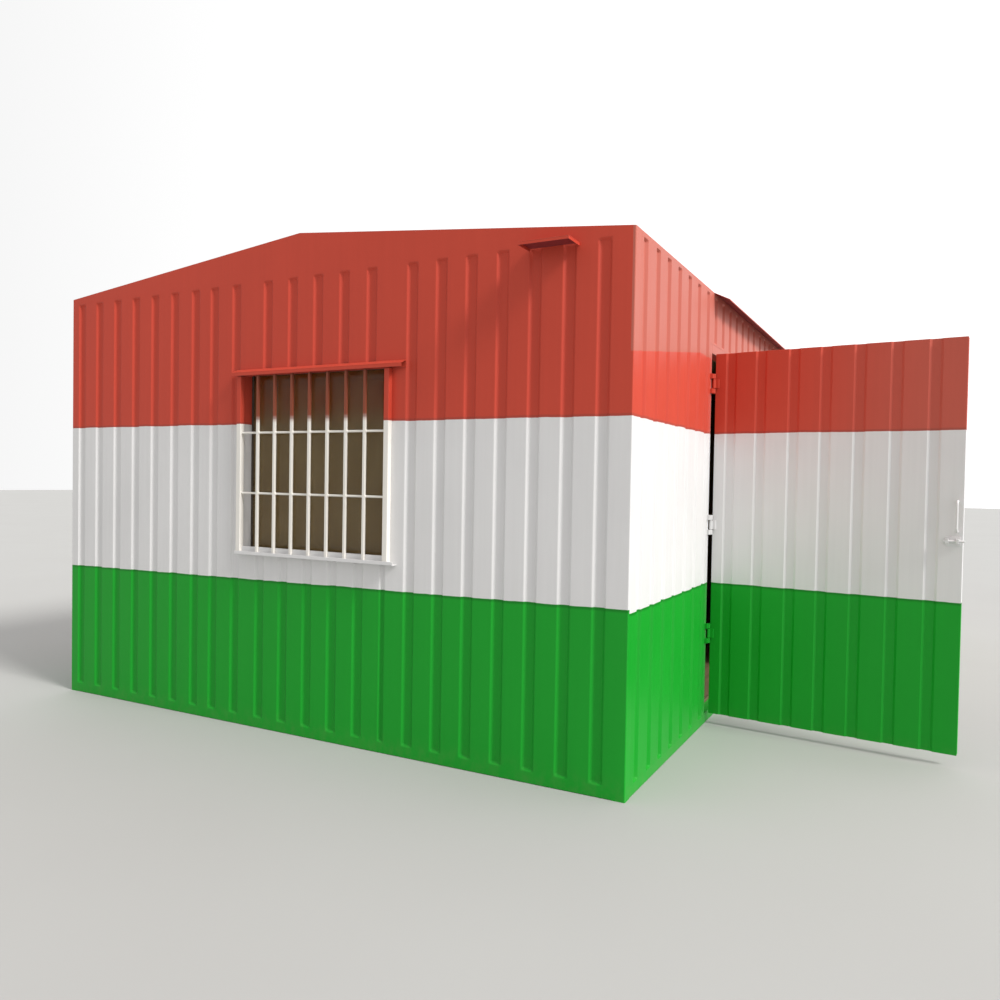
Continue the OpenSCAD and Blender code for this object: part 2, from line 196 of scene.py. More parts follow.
def site_paint(name, low, middle, high, white_from, red_from, gloss=0.46, wave=0.0007,
               painted_light=None, underside_shade=None, fade=0.001):
    """Synthetic enamel rolled on pressed steel sheet in up to three bands.

    It gives a low satin sheen with faint upright roller marks, hand-cut band edges that wander by
    a few millimetres, sheet that bows a little between its grooves, and dust low on the wall.
    On the door side it paints a sunlit sheen and the open leaf's shade. On the leaf it paints a
    shade towards the free edge, and under the hoods a darker painted shade.
    """
    made, tree, shader, where = start_material(name)
    parts = add_node(tree, "ShaderNodeSeparateXYZ", links={0: where}).outputs
    height = parts["Z"]
    wander = grain(tree, where, (1, 1, 1), 5.0, 4.0)
    height_edge = math_node(tree, "ADD", height, ranged(tree, wander, 0, 1, -0.006, 0.006))
    # The top of the green climbs by 9 mm a metre along the front wall only
    climb = math_node(tree, "MULTIPLY", math_node(tree, "LESS_THAN", parts["Y"], FRONT + 0.013),
                      math_node(tree, "MULTIPLY", parts["X"], -0.0093))
    green_edge = math_node(tree, "ADD", height_edge, climb)
    colour = mixed(tree, ranged(tree, green_edge, white_from - 0.001, white_from + 0.001),
                   rgba(low), rgba(middle))
    # A line of darker green where its top was cut in twice
    line = math_node(tree, "MULTIPLY",
                     ranged(tree, green_edge, white_from - 0.016, white_from - 0.009),
                     ranged(tree, green_edge, white_from - 0.001, white_from, 1, 0))
    colour = mixed(tree, math_node(tree, "MULTIPLY", line, 0.5), colour, rgba(low, 0.35))
    high, scene = rgba(high), bpy.context.scene
    # Painted light on the door side: above an edge that climbs from the front corner to the head of
    # the door, a lighter, pinker red stands in for sunlight washing over the paint, and the more
    # saturated red below it stands in for the shade that the open leaf casts there
    if painted_light == "side":
        # The door side has an older, chalked coat above a strip of fresh red, whose top
        # climbs from the front corner to the head of the door
        rise = math_node(tree, "SUBTRACT", height_edge,
                         ranged(tree, parts["Y"], FRONT, HINGE.y - 0.25, 0.0, 0.15))
        level = scene.cabin_sizes.painted_sheen_from
        painted_light_mask = math_node(tree, "MULTIPLY",
                        math_node(tree, "GREATER_THAN", parts["X"], HALF_WIDTH - 0.013),
                        ranged(tree, rise, level - 0.002, level + 0.002))
        high = mixed(tree, painted_light_mask, high, rgba(scene.cabin_colours.painted_light_red))
    elif painted_light == "leaf":
        # Painted shade: the leaf's red turns a greyer, pinker tone towards its free edge, standing
        # in for the dimming and haze there
        painted_light_mask = ranged(tree, parts["X"], HINGE.x + 0.3, HINGE.x + 1.2, 0.0, 0.6, True)
        high = mixed(tree, painted_light_mask, high, rgba(scene.cabin_colours.painted_light_red))
    colour = mixed(tree, ranged(tree, height_edge, red_from - fade, red_from + fade),
                   colour, high)
    # A thicker lip of paint along the edge of the red band looks a little darker
    lip = math_node(tree, "MULTIPLY",
                    ranged(tree, height_edge, red_from - 0.001, red_from + 0.001),
                    ranged(tree, height_edge, red_from + 0.008, red_from + 0.014, 1, 0))
    colour = mixed(tree, math_node(tree, "MULTIPLY", lip, 0.35), colour,
                   (0.16, 0.06, 0.05, 1))
    cloud = grain(tree, where, (1, 1, 1), 1.3, 3.0)
    colour = mixed(tree, 1.0, colour, mixed(tree, ranged(tree, cloud, 0.3, 0.7),
                   (0.96, 0.96, 0.96, 1), (1.02, 1.02, 1.02, 1)), "MULTIPLY")
    roller = grain(tree, where, (1, 1, 0.03), 45.0, 2.0)
    colour = mixed(tree, 1.0, colour, mixed(tree, ranged(tree, roller, 0.35, 0.65),
                   (0.985, 0.985, 0.985, 1), (1.008, 1.008, 1.008, 1)), "MULTIPLY")
    # Splashed dust thins out close to the ground
    splash = math_node(tree, "MULTIPLY", ranged(tree, height, 0.0, 0.14, 1, 0, True),
                       ranged(tree, grain(tree, where, (1, 1, 0.6), 22.0, 6.0, 0.7),
                              0.42, 0.68))
    colour = mixed(tree, math_node(tree, "MULTIPLY", splash, 0.12), colour,
                   rgba(to_linear("8A8368")))
    if underside_shade is not None:
        # Painted shade: faces that look down get a darker, duller red, standing in for the shade
        # under the hoods
        facing = add_node(tree, "ShaderNodeSeparateXYZ", links={
            0: add_node(tree, "ShaderNodeNewGeometry").outputs["Normal"]}).outputs["Z"]
        colour = mixed(tree, ranged(tree, facing, -0.7, -0.5, 1, 0), colour, rgba(underside_shade))
    tree.links.new(colour, shader.inputs["Base Color"])
    tree.links.new(ranged(tree, cloud, 0.3, 0.7, gloss - 0.06, gloss + 0.08),
                   shader.inputs["Roughness"])
    # Orange peel of rolled enamel, about 3 mm across, over the slow bow of the sheet
    peel = add_node(tree, "ShaderNodeBump", {"Strength": 0.25, "Distance": 0.0003},
                    {"Height": grain(tree, where, (1, 1, 1), 330.0, 2.0)})
    bow = add_node(tree, "ShaderNodeBump", {"Strength": 1.0, "Distance": wave},
                   {"Height": grain(tree, where, (1, 1, 0.45), 6.0, 1.0),
                    "Normal": peel.outputs[0]})
    tree.links.new(bow.outputs[0], shader.inputs["Normal"])
    shader.inputs["Specular IOR Level"].default_value = 0.22
    return made


def brown_board(name, colour, along=(1, 1, 1)):
    """Veneered hardboard, with long soft grain and a dull wax sheen."""
    made, tree, shader, where = start_material(name)
    fine = grain(tree, where, along, 60.0, 5.0, 0.6)
    broad = grain(tree, where, (1, 1, 1), 1.6, 3.0)
    tone = mixed(tree, ranged(tree, fine, 0.35, 0.65), rgba(colour, 0.80), rgba(colour, 1.12))
    tone = mixed(tree, 1.0, tone, mixed(tree, ranged(tree, broad, 0.3, 0.7),
                 (0.88, 0.88, 0.88, 1), (1.08, 1.08, 1.08, 1)), "MULTIPLY")
    tree.links.new(tone, shader.inputs["Base Color"])
    tree.links.new(ranged(tree, fine, 0.3, 0.7, 0.5, 0.65), shader.inputs["Roughness"])
    bump = add_node(tree, "ShaderNodeBump", {"Strength": 0.2, "Distance": 0.0004},
                    {"Height": fine})
    tree.links.new(bump.outputs[0], shader.inputs["Normal"])
    return made


def dark_primer(name):
    """Red-oxide and black primer on the joists, flat and patchy."""
    made, tree, shader, where = start_material(name)
    patch = grain(tree, where, (1, 1, 1), 14.0, 5.0, 0.65)
    tree.links.new(mixed(tree, ranged(tree, patch, 0.45, 0.6), rgba(to_linear("2C2A2A")),
                         rgba(to_linear("4A3A34"))), shader.inputs["Base Color"])
    tree.links.new(ranged(tree, patch, 0.3, 0.7, 0.6, 0.8), shader.inputs["Roughness"])
    return made


def bronze_glass(name, colour):
    """Bronze-tinted float glass, dusty, so the room behind shows dim and brown.

    Its top is tinted a deeper brown, a painted shade standing in for the hood's shade on the pane.
    """
    made, tree, shader, where = start_material(name)
    dust = grain(tree, where, (1, 1, 0.3), 9.0, 5.0, 0.6)
    height = add_node(tree, "ShaderNodeSeparateXYZ", links={0: where}).outputs["Z"]
    # Painted shade: the pane's top turns a deeper brown under the hood
    tint_and_painted_shade = mixed(tree, ranged(tree, height, 1.60, 1.78, 0, 1, True), rgba(colour),
                 rgba(to_linear("7E3F14")))
    tree.links.new(mixed(tree, ranged(tree, dust, 0.4, 0.7, 0.0, 0.5), tint_and_painted_shade,
                         mixed(tree, 0.6, tint_and_painted_shade, rgba(to_linear("A08E68")))),
                   shader.inputs["Base Color"])
    tree.links.new(ranged(tree, dust, 0.3, 0.7, 0.06, 0.2), shader.inputs["Roughness"])
    shader.inputs["IOR"].default_value = 1.5
    shader.inputs["Alpha"].default_value = 0.55
    return made


def plain_rubber(name, value):
    """Black glazing rubber, matt with a faint bloom."""
    made, tree, shader, where = start_material(name)
    bloom = grain(tree, where, (1, 1, 1), 40.0, 3.0)
    tree.links.new(mixed(tree, ranged(tree, bloom, 0.3, 0.7), rgba(to_linear(value), 0.8),
                         rgba(to_linear(value), 1.3)), shader.inputs["Base Color"])
    shader.inputs["Roughness"].default_value = 0.7
    return made


MADE = {}


def material(name):
    """Looks up a finish, and makes each one once."""
    if not MADE:
        scene = bpy.context.scene
        sizes, colours = scene.cabin_sizes, scene.cabin_colours
        bands = (colours.green, colours.white, colours.red, sizes.white_from, sizes.red_from)
        # The wall sheet and tube get a painted sunlit sheen and the leaf's painted shade on the door
        # side
        MADE["sheet"] = site_paint("enamel_on_pressed_sheet", *bands, painted_light="side")
        # The leaf gets a painted shade and haze towards its free edge
        MADE["leaf"] = site_paint("enamel_on_door_sheet", *bands, painted_light="leaf")
        MADE["tube"] = site_paint("enamel_on_steel_tube", *bands, gloss=0.42, wave=0.0002,
                                  painted_light="side")
        MADE["red"] = site_paint("red_enamel_on_flat_sheet", colours.red, colours.red,
                                 colours.red, -5, -4, gloss=0.42, wave=0.0012)
        # The hoods get a painted shade on their undersides
        MADE["hood"] = site_paint("red_enamel_on_hoods", colours.red, colours.red,
                                  colours.red, -5, -4, gloss=0.38, wave=0.0003,
                                  underside_shade=to_linear("843438"))
        MADE["frame"] = site_paint("enamel_on_window_frame", colours.bar, colours.bar,
                                   colours.red, -5, sizes.red_from, gloss=0.36, wave=0.0001)
        MADE["bar"] = site_paint("enamel_on_window_bars", colours.bar, colours.bar,
                                 colours.bar_top, -5, sizes.red_from + 0.02, gloss=0.36,
                                 wave=0.0001, fade=0.02)
        MADE["white"] = site_paint("white_enamel_on_fittings", colours.white, colours.white,
                                   colours.white, -5, 9, gloss=0.36, wave=0.0001)
        MADE["board"] = brown_board("veneered_lining_board", colours.board, (1, 1, 0.06))
        MADE["floor"] = brown_board("plywood_floor_board", to_linear("6E5B42"), (1, 0.06, 1))
        MADE["ceiling"] = brown_board("painted_ceiling_board", to_linear("9A8767"), (1, 0.1, 1))
        MADE["primer"] = dark_primer("primer_on_joists")
        MADE["glass"] = bronze_glass("bronze_float_glass", colours.glass)
        MADE["rubber"] = plain_rubber("glazing_rubber", "42382E")
    return MADE[name]


# ---------------------------------------------------------------- modelling

def wall_place(side):
    """Matrix from wall coordinates (along, inward, up) to the cabin."""
    corner = {"front": (-HALF_WIDTH, FRONT), "right": (HALF_WIDTH, FRONT),
              "back": (HALF_WIDTH, BACK), "left": (-HALF_WIDTH, BACK)}[side]
    turn = {"front": 0, "right": 90, "back": 180, "left": -90}[side]
    return Matrix.Translation((*corner, 0)) @ Matrix.Rotation(math.radians(turn), 4, "Z")


def span(node, side):
    """Lowest and highest corner of a CAD node in the coordinates of one wall."""
    inward = wall_place(side).inverted()
    corners = [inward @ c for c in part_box(node)]
    return (Vector([min(a, b) for a, b in zip(*corners)]),
            Vector([max(a, b) for a, b in zip(*corners)]))


def add_block(bm, low, high):
    """Adds a block between two corners."""
    low, high = Vector(low), Vector(high)
    size = Matrix.Diagonal((*(high - low), 1.0))
    made = bmesh.ops.create_cube(bm, size=1.0, matrix=Matrix.Translation((low + high) / 2) @ size)
    return made["verts"]


def add_rod(bm, start, end, radius, segments=16):
    """Adds a round rod between two points."""
    start, end = Vector(start), Vector(end)
    turn = (end - start).to_track_quat("Z", "Y").to_matrix().to_4x4()
    made = bmesh.ops.create_cone(bm, cap_ends=True, segments=segments, radius1=radius,
                                 radius2=radius, depth=(end - start).length,
                                 matrix=Matrix.Translation((start + end) / 2) @ turn)
    return made["verts"]


def add_bent_rod(bm, points, radius, bend, segments=14):
    """Adds a round rod that follows points, with a round bend at each inner one."""
    points = [Vector(p) for p in points]
    way = (points[1] - points[0]).normalized()
    turn = way.to_track_quat("Z", "Y").to_matrix().to_4x4()
    ring = bmesh.ops.create_circle(bm, cap_ends=True, radius=radius, segments=segments,
                                   matrix=Matrix.Translation(points[0]) @ turn)["verts"]
    edges = [e for e in bm.edges if all(v in ring for v in e.verts)]
    spot = points[0]
    for i, point in enumerate(points[1:], 1):
        last = i == len(points) - 1
        end = point if last else point - way * bend
        made = bmesh.ops.extrude_edge_only(bm, edges=edges)["geom"]
        verts = [g for g in made if isinstance(g, bmesh.types.BMVert)]
        edges = [g for g in made if isinstance(g, bmesh.types.BMEdge)
                 and all(v in verts for v in g.verts)]
        bmesh.ops.translate(bm, verts=verts, vec=end - spot)
        spot = end
        if last:
            bmesh.ops.holes_fill(bm, edges=edges)
            break
        onward = (points[i + 1] - point).normalized()
        made = bmesh.ops.spin(bm, geom=edges, cent=end + onward * bend, axis=way.cross(onward),
                              angle=math.pi / 2, steps=6, use_merge=False)["geom_last"]
        edges = [g for g in made if isinstance(g, bmesh.types.BMEdge)]
        spot, way = point + onward * bend, onward


def cut(bm, point, normal, keep_inside=False):
    """Cuts every face on a plane; with keep_inside, drops what is beyond it and closes the cut."""
    made = bmesh.ops.bisect_plane(bm, geom=bm.verts[:] + bm.edges[:] + bm.faces[:], dist=1e-6,
                                  plane_co=point, plane_no=normal, clear_outer=keep_inside)
    if keep_inside:
        edges = [e for e in made["geom_cut"] if isinstance(e, bmesh.types.BMEdge)]
        bmesh.ops.holes_fill(bm, edges=edges)


def trim_to_roof(bm):
    """Cuts a shape off at the two slopes of the roof."""
    for side in (-1, 1):
        cut(bm, (0, 0, RIDGE), (side * ROOF_SLOPE, 0, 1), True)


def round_edges(bm, radius, wanted, segments=2):
    """Rounds those sharp edges that a test picks."""
    bmesh.ops.recalc_face_normals(bm, faces=bm.faces)
    edges = [e for e in bm.edges if e.calc_face_angle(0) > math.radians(12) and wanted(e)]
    bmesh.ops.bevel(bm, geom=edges, offset=radius, offset_type="OFFSET", affect="EDGES",
                    segments=segments, profile=0.5, material=-1, clamp_overlap=True)


def press_grooves(bm, places, bottom, top, closed=(True, True), depth=None):
    """Presses grooves into the face at y = 0, each closed by a slope or run out at its ends."""
    sizes = bpy.context.scene.cabin_sizes
    outer, inner = sizes.groove_width / 2, sizes.groove_floor / 2
    low = bottom + (sizes.groove_end if closed[0] else 0)
    high = top - (sizes.groove_end if closed[1] else 0)
    for place in places:
        for offset in (-outer, -inner, inner, outer):
            cut(bm, (place + offset, 0, 0), (1, 0, 0))
    for height, wanted in ((bottom, closed[0]), (low, closed[0]), (high, closed[1]),
                           (top, closed[1])):
        if wanted:
            cut(bm, (0, 0, height), (0, 0, 1))
    floor = [v for v in bm.verts if v.co.y < 1e-4 and low - 1e-4 < v.co.z < high + 1e-4
             and min(abs(v.co.x - p) for p in places) < inner + 1e-4]
    bmesh.ops.translate(bm, verts=floor, vec=(0, depth or sizes.groove_depth, 0))


def make_piece(name, bm, body, finish, nodes=(), place=None, edge=0.0, segments=2,
               recalc=True):
    """Turns a bmesh into a piece that rides on a body and stands for CAD nodes.

    With an edge width, every sharp edge gets rounded; without one, they stay as modelled.
    """
    if place is not None:
        bmesh.ops.transform(bm, matrix=place, verts=bm.verts)
    if recalc:
        bmesh.ops.recalc_face_normals(bm, faces=bm.faces)
    for face in bm.faces:
        face.smooth = True
    if not edge:
        for line in bm.edges:
            line.smooth = line.calc_face_angle(0) < math.radians(32)
    mesh = bpy.data.meshes.new(name)
    bm.to_mesh(mesh)
    bm.free()
    mesh.materials.append(material(finish))
    made = bpy.data.objects.new(name, mesh)
    bpy.context.scene.collection.objects.link(made)
    if edge:
        soft = made.modifiers.new("Soft edges", "BEVEL")
        soft.width, soft.segments = edge, segments
        soft.limit_method, soft.angle_limit = "ANGLE", math.radians(18)
        soft.harden_normals = True
    else:
        flat = made.modifiers.new("Flat faces", "WEIGHTED_NORMAL")
        flat.keep_sharp = True
    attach(made, body)
    if nodes:
        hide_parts(*nodes)
    return made


def pressed_wall(node, side, places, ends, closed=(True, True)):
    """One run of pressed sheet wall, in place of its CAD node."""
    sizes = bpy.context.scene.cabin_sizes
    low, high = span(node, side)
    bm = bmesh.new()
    add_block(bm, low, high)
    press_grooves(bm, places, ends[0] if closed[0] else low.z, ends[1] if closed[1] else high.z,
                  closed)
    # The runs meet without a seam, so only the pressed edges are rounded
    round_edges(bm, sizes.press_radius, lambda e: all(f.normal.y < -0.2 for f in e.link_faces))
    bmesh.ops.transform(bm, matrix=wall_place(side), verts=bm.verts)
    trim_to_roof(bm)
    return make_piece("pressed_" + node, bm, "cabin", "sheet", [node])


def dress_nodes(names, finish):
    """Gives CAD nodes whose shape stays a finish."""
    for name in names:
        node = frame["nodes"][name]
        node.data.materials.clear()
        node.data.materials.append(material(finish))


def leaf_place():
    """Matrix that turns a door piece, made shut, to where the door stands open."""
    return (Matrix.Translation(HINGE) @ Matrix.Rotation(-DOOR_OPEN, 4, "Z")
            @ Matrix.Translation(-HINGE))


def shut_box(node):
    """Corners of a door node as it stands when the door is shut."""
    back = leaf_place().inverted()
    points = [back @ v.co for v in frame["nodes"][node].data.vertices]
    return (Vector([min(p[i] for p in points) for i in range(3)]),
            Vector([max(p[i] for p in points) for i in range(3)]))


# ---------------------------------------------------------------- operators

class CABIN_OT_walls(bpy.types.Operator):
    """Press the sheet walls"""
    bl_idname = "cabin.walls"
    bl_label = "Walls"

    def execute(self, context):
        pressed_wall("front_wall_left", "front", LEFT_GROOVES, FRONT_ENDS)
        pressed_wall("front_wall_right", "front", RIGHT_GROOVES, FRONT_ENDS)
        pressed_wall("front_wall_under_window", "front", UNDER_GROOVES, FRONT_ENDS,
                     (True, False))
        pressed_wall("front_wall_over_window", "front", OVER_GROOVES, FRONT_ENDS,
                     (False, True))
        pressed_wall("right_wall_near_door", "right", NEAR_DOOR_GROOVES, SIDE_ENDS)
        low, high = span("right_wall_over_door", "right")
        pressed_wall("right_wall_over_door", "right",
                     [low.x + 0.125 + i * SIDE_PITCH for i in range(7)],
                     (low.z + 0.010, SIDE_ENDS[1]))
        low, high = span("right_wall_past_door", "right")
        count = int((high.x - 0.05 - low.x - 0.08) / SIDE_PITCH) + 1
        pressed_wall("right_wall_past_door", "right",
                     [low.x + 0.08 + i * SIDE_PITCH for i in range(count)], SIDE_ENDS)
        low, high = span("left_wall", "left")
        count = int((high.x - 0.05 - 0.137) / SIDE_PITCH) + 1
        pressed_wall("left_wall", "left", [0.137 + i * SIDE_PITCH for i in range(count)],
                     SIDE_ENDS)
        pressed_wall("back_wall", "back", [0.190 + i * FRONT_PITCH for i in range(21)],
                     FRONT_ENDS)
        return {"FINISHED"}


class CABIN_OT_frame(bpy.types.Operator):
    """Fold the corner posts, base rails and gable plates"""
    bl_idname = "cabin.frame"
    bl_label = "Posts, rails and gables"

    def execute(self, context):
        radius = context.scene.cabin_sizes.corner_radius
        for node in ("front_left_post", "front_right_post", "back_left_post",
                     "back_right_post"):
            bm = bmesh.new()
            add_block(bm, *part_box(node))
            round_edges(bm, radius, lambda e: all(
                abs(abs(v.co.x) - HALF_WIDTH) < 1e-4 and min(abs(v.co.y - FRONT),
                                                             abs(v.co.y - BACK)) < 1e-4
                for v in e.verts), 3)
            trim_to_roof(bm)
            make_piece("folded_" + node, bm, "cabin", "tube", [node])
        for node in ("front_gable", "back_gable"):
            bm = bmesh.new()
            add_block(bm, *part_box(node))
            trim_to_roof(bm)
            make_piece("folded_" + node, bm, "cabin", "red", [node])
        for node in ("base_end_rails", "base_side_rails"):
            bm = bmesh.new()
            low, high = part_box(node)
            axis = 1 if node == "base_end_rails" else 0
            for side in (0, 1):
                a, b = low.copy(), high.copy()
                if side:
                    a[axis] = high[axis] - WALL
                else:
                    b[axis] = low[axis] + WALL
                add_block(bm, a, b)
            outer = (low[axis], high[axis])
            round_edges(bm, radius, lambda e: all(
                v.co.z < low.z + 1e-4 and min(abs(v.co[axis] - o) for o in outer) < 1e-4
                for v in e.verts))
            make_piece("folded_" + node, bm, "cabin", "tube", [node])
        return {"FINISHED"}


class CABIN_OT_roof(bpy.types.Operator):
    """Press the roof sheets and fold the ridge cap"""
    bl_idname = "cabin.roof"
    bl_label = "Roof"

    def execute(self, context):
        sizes = context.scene.cabin_sizes
        angle = math.atan(ROOF_SLOPE)
        for node, side in (("roof_right", 1), ("roof_left", -1)):
            low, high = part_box(node)
            inner = high.x - low.x
            thick = RIDGE - ROOF_SLOPE * inner - low.z
            run = high.y - low.y
            slant = inner / math.cos(angle)
            bm = bmesh.new()
            add_block(bm, (0, 0, -0.05), (run, thick * math.cos(angle), slant + 0.05))
            places = [run / 2 + i * SIDE_PITCH for i in range(-16, 17)]
            press_grooves(bm, places, 0.09, slant - 0.07)
            round_edges(bm, sizes.press_radius,
                        lambda e: all(f.normal.y < -0.2 for f in e.link_faces))
            # Wall coordinates to the right-hand slope: along runs back, inward down, up downhill
            lay = Matrix(((0, -math.sin(angle), math.cos(angle), 0), (1, 0, 0, low.y),
                          (0, -math.cos(angle), -math.sin(angle), RIDGE), (0, 0, 0, 1)))
            bmesh.ops.transform(bm, matrix=lay, verts=bm.verts)
            cut(bm, (0, 0, 0), (-1, 0, 0), True)
            cut(bm, (inner, 0, 0), (1, 0, 0), True)
            if side < 0:
                bmesh.ops.scale(bm, vec=(-1, 1, 1), verts=bm.verts)
            make_piece("pressed_" + node, bm, "cabin", "red", [node])
        low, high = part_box("ridge_cap")
        bm = bmesh.new()
        add_block(bm, (low.x, low.y, -0.004), (high.x, high.y, 0))
        cut(bm, (0, 0, 0), (1, 0, 0))
        for vert in bm.verts:
            vert.co.z += high.z - abs(vert.co.x) * ROOF_SLOPE
        make_piece("folded_ridge_cap", bm, "cabin", "red", ["ridge_cap"],
                   edge=0.0012)
        return {"FINISHED"}


class CABIN_OT_window(bpy.types.Operator):
    """Build the barred window"""
    bl_idname = "cabin.window"
    bl_label = "Window"

    def execute(self, context):
        sizes = context.scene.cabin_sizes
        low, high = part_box("window_posts")
        bm = bmesh.new()
        add_block(bm, low, (low.x + 0.03, high.y, high.z))
        add_block(bm, (high.x - 0.03, low.y, low.z), high)
        make_piece("welded_window_posts", bm, "cabin", "frame", ["window_posts"],
                   edge=sizes.tube_edge)
        bm = bmesh.new()
        add_block(bm, *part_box("window_bottom_rail"))
        make_piece("welded_window_rail", bm, "cabin", "white", ["window_bottom_rail"],
                   edge=0.002)
        low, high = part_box("window_grille")
        middle = (low.x + high.x) / 2
        bar = 0.014
        bm = bmesh.new()
        for i in range(-3, 4):
            x = middle + i * 0.118
            add_block(bm, (x - bar / 2, low.y, low.z), (x + bar / 2, low.y + bar, high.z))
            for z in (1.275, 1.600):
                # A bead of weld on both sides of each crossing
                for side in (-1, 1):
                    bead = Matrix.Translation((x + side * 0.009, high.y - 0.010, z))
                    bmesh.ops.create_icosphere(bm, subdivisions=2, radius=0.007, matrix=(
                        bead @ Matrix.Diagonal((0.7, 1.1, 1.3, 1))))
        for z in (1.275, 1.600):
            add_rod(bm, (low.x, high.y - 0.006, z), (high.x, high.y - 0.006, z), 0.006)
        make_piece("welded_window_grille", bm, "cabin", "bar", ["window_grille"],
                   edge=0.0015)
        low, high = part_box("window_hood")
        bm = bmesh.new()
        # Top sheet slopes out to a turned-down lip
        add_block(bm, (low.x, high.y - 0.002, low.z), (high.x, high.y, high.z))
        add_block(bm, (low.x, low.y, high.z - 0.003), (high.x, high.y, high.z))
        for vert in bm.verts:
            if vert.co.y < high.y - 0.02:
                vert.co.z -= 0.019
        add_block(bm, (low.x, low.y, low.z), (high.x, low.y + 0.003, high.z - 0.019))
        make_piece("folded_window_hood", bm, "cabin", "hood", ["window_hood"],
                   edge=0.0012)
        low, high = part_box("window_sill")
        bm = bmesh.new()
        add_block(bm, low, (high.x, high.y, low.z + 0.004))
        add_block(bm, low, (high.x, low.y + 0.004, high.z))
        make_piece("folded_window_sill", bm, "cabin", "white", ["window_sill"],
                   edge=0.0012)
        low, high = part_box("window_glass")
        bm = bmesh.new()
        add_block(bm, (low.x, low.y, low.z), high)
        make_piece("window_pane", bm, "cabin", "glass", ["window_glass"],
                   edge=0.001)
        # Rubber bead round the pane
        bm = bmesh.new()
        y0, y1 = low.y - 0.008, low.y
        for a, b in (((low.x, y0, low.z), (high.x, y1, low.z + 0.012)),
                     ((low.x, y0, high.z - 0.012), (high.x, y1, high.z)),
                     ((low.x, y0, low.z + 0.012), (low.x + 0.012, y1, high.z - 0.012)),
                     ((high.x - 0.012, y0, low.z + 0.012), (high.x, y1, high.z - 0.012))):
            add_block(bm, a, b)
        make_piece("window_bead", bm, "cabin", "rubber", edge=0.002)
        return {"FINISHED"}


class CABIN_OT_hoods(bpy.types.Operator):
    """Fold the vent hood and the door canopy"""
    bl_idname = "cabin.hoods"
    bl_label = "Hoods"

    def execute(self, context):
        gauge = context.scene.cabin_sizes.sheet_gauge
        for node in ("vent_hood", "door_canopy"):
            low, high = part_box(node)
            bm = bmesh.new()
            if node == "door_canopy":
                # Sheet that slopes out and down from the eaves, with a turned-down lip
                add_block(bm, (low.x, low.y, high.z - 0.003), high)
                for vert in bm.verts:
                    if vert.co.x > low.x + 0.01:
                        vert.co.z -= high.z - low.z - 0.006
                add_block(bm, (high.x - gauge, low.y, low.z), (high.x, high.y, low.z + 0.003))
            else:
                add_block(bm, (low.x, low.y, high.z - gauge), high)
                add_block(bm, low, (high.x, low.y + gauge, high.z - gauge))
                add_block(bm, (low.x, low.y + gauge, low.z), (low.x + gauge, high.y,
                                                              high.z - gauge))
                add_block(bm, (high.x - gauge, low.y + gauge, low.z), (high.x, high.y,
                                                                       high.z - gauge))
            make_piece("folded_" + node, bm, "cabin", "hood", [node], edge=0.0008)
        return {"FINISHED"}


class CABIN_OT_door_frame(bpy.types.Operator):
    """Weld the door frame and its fixed hinge knuckles"""
    bl_idname = "cabin.door_frame"
    bl_label = "Door frame"

    def execute(self, context):
        edge = context.scene.cabin_sizes.tube_edge
        low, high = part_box("door_jambs")
        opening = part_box("door_head")
        bm = bmesh.new()
        for y0, y1, s0, s1 in ((low.y, opening[0].y, opening[0].y, opening[0].y + 0.02),
                               (opening[1].y, high.y, opening[1].y - 0.02, opening[1].y)):
            add_block(bm, (low.x, y0, low.z), (high.x, y1, high.z))
            add_block(bm, (low.x, s0, low.z + 0.007), (low.x + 0.01, s1, opening[0].z))
        make_piece("welded_door_jambs", bm, "cabin", "tube", ["door_jambs"],
                   edge=edge)
        for node in ("door_head", "door_threshold"):
            bm = bmesh.new()
            add_block(bm, *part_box(node))
            make_piece("welded_" + node, bm, "cabin", "tube", [node],
                       edge=0.002)
        bm = bmesh.new()
        for z in (0.520, 1.135, 1.930):
            add_rod(bm, (HINGE.x, HINGE.y, z - 0.055), (HINGE.x, HINGE.y, z + 0.055), 0.0045)
            for z0 in (z - 0.055, z + 0.028):
                add_rod(bm, (HINGE.x, HINGE.y, z0), (HINGE.x, HINGE.y, z0 + 0.027), 0.009, 24)
                add_block(bm, (HALF_WIDTH, HINGE.y - 0.032, z0),
                          (HINGE.x, HINGE.y - 0.004, z0 + 0.027))
        make_piece("welded_hinge_brackets", bm, "cabin", "tube", ["door_hinge_brackets"],
                   edge=0.0012)
        return {"FINISHED"}


